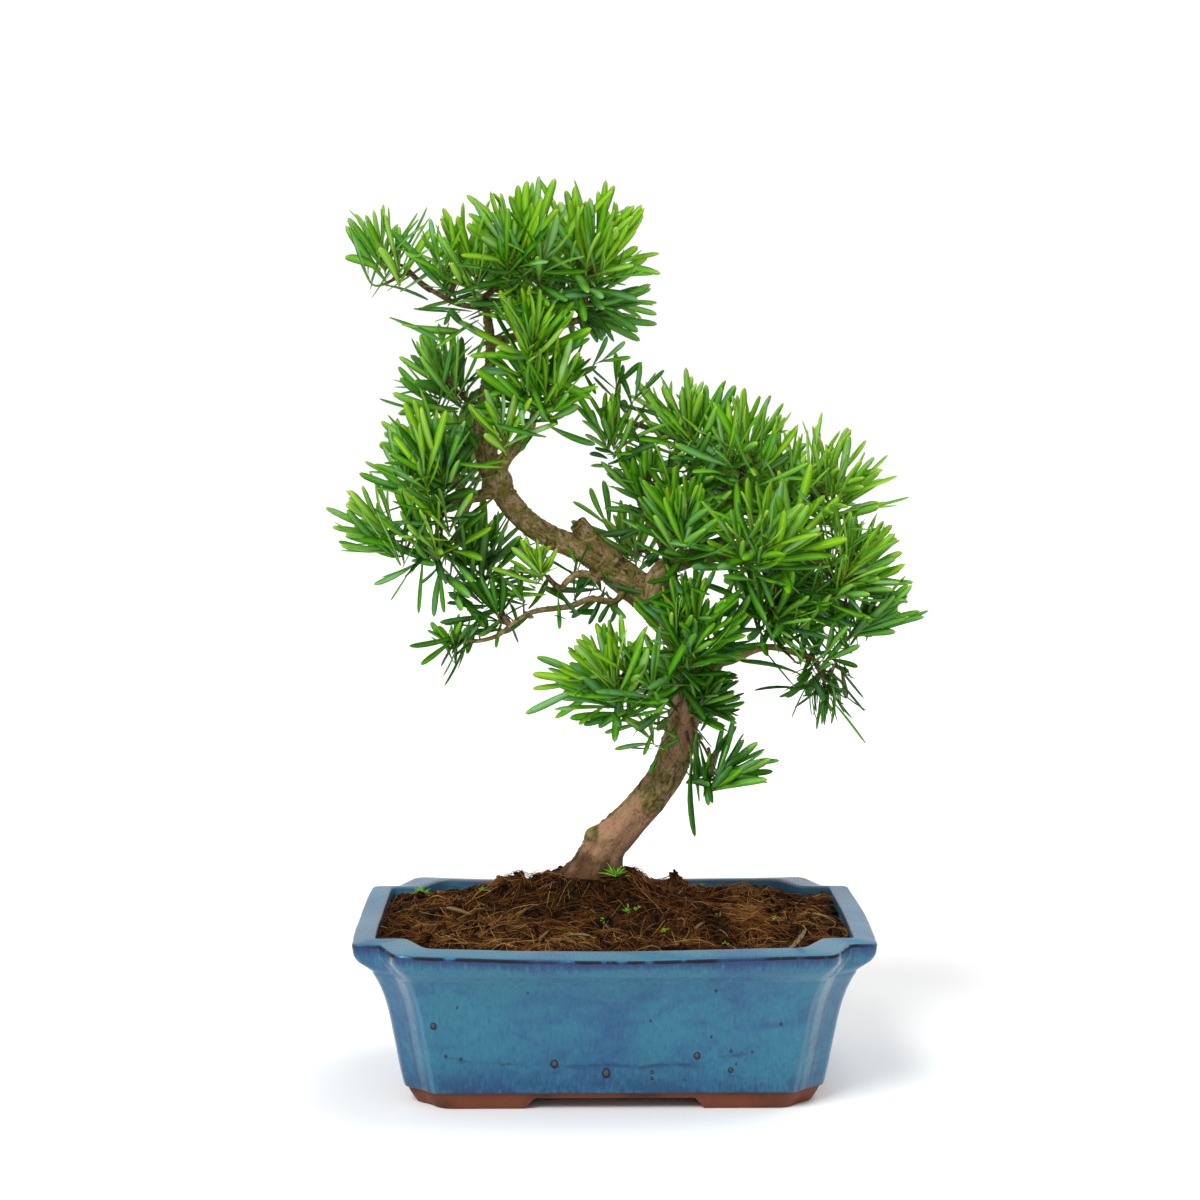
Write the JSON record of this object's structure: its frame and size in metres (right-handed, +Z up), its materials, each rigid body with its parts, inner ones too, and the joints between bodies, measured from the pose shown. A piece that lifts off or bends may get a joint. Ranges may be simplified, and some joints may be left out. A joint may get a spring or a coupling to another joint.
{
  "type": "potted podocarpus",
  "caption": "Podocarpus grown as a bonsai with a winding trunk and sprays of strap leaves, in a blue glazed rectangular pot with notched corners.",
  "frame": {"origin": "on the ground, under the middle of the whole plant's bounding box", "axes": "+Z up along the plant's height, +X to the right along the pot's long side seen from the front, the front faces -Y"},
  "size_m": [0.3666, 0.214, 0.5429],
  "materials": {
    "glaze": "gloss",
    "clay": "matte",
    "soil": "matte",
    "bark": "matte",
    "foliage": "satin"
  },
  "bodies": {
    "root": {"pot": "glaze", "pot_foot": "clay", "soil": "soil", "trunk_lower": "bark", "trunk_middle": "bark", "trunk_top": "bark", "cut_stub": "bark", "bough_right": "bark", "bough_right_rise": "bark", "bough_right_reach": "bark", "bough_right_back": "bark", "bough_right_inner": "bark", "bough_upper_link": "bark", "bough_low_right": "bark", "bough_low_left": "bark", "bough_curl": "bark", "bough_left": "bark", "bough_left_drop": "bark", "bough_fork": "bark", "bough_front_twig": "bark", "bough_crown_right": "bark", "bough_crown_left": "bark", "leaves_crown_left_spray": "foliage", "leaves_crown_left": "foliage", "leaves_crown_middle": "foliage", "leaves_crown_right": "foliage", "leaves_crown_back": "foliage", "leaves_crown_lower_right": "foliage", "leaves_crown_front": "foliage", "leaves_neck_front": "foliage", "leaves_neck_low": "foliage", "leaves_left_shoulder": "foliage", "leaves_left_upper": "foliage", "leaves_left_outer": "foliage", "leaves_left_inner": "foliage", "leaves_left_under": "foliage", "leaves_left_back": "foliage", "leaves_low_left_leaves": "foliage", "leaves_low_left_tip": "foliage", "leaves_curl_sprig": "foliage", "leaves_stub_back": "foliage", "leaves_link_sprig": "foliage", "leaves_right_edge": "foliage", "leaves_right_crest": "foliage", "leaves_right_brow": "foliage", "leaves_right_top": "foliage", "leaves_right_face": "foliage", "leaves_right_outer": "foliage", "leaves_right_corner": "foliage", "leaves_right_inner": "foliage", "leaves_right_lower": "foliage", "leaves_right_droop": "foliage", "leaves_right_back": "foliage", "leaves_right_back_low": "foliage", "leaves_front_spray": "foliage", "leaves_front_middle": "foliage", "leaves_lower_right": "foliage", "leaves_lower_foot": "foliage", "leaves_lower_back": "foliage"}
  },
  "joints": []
}
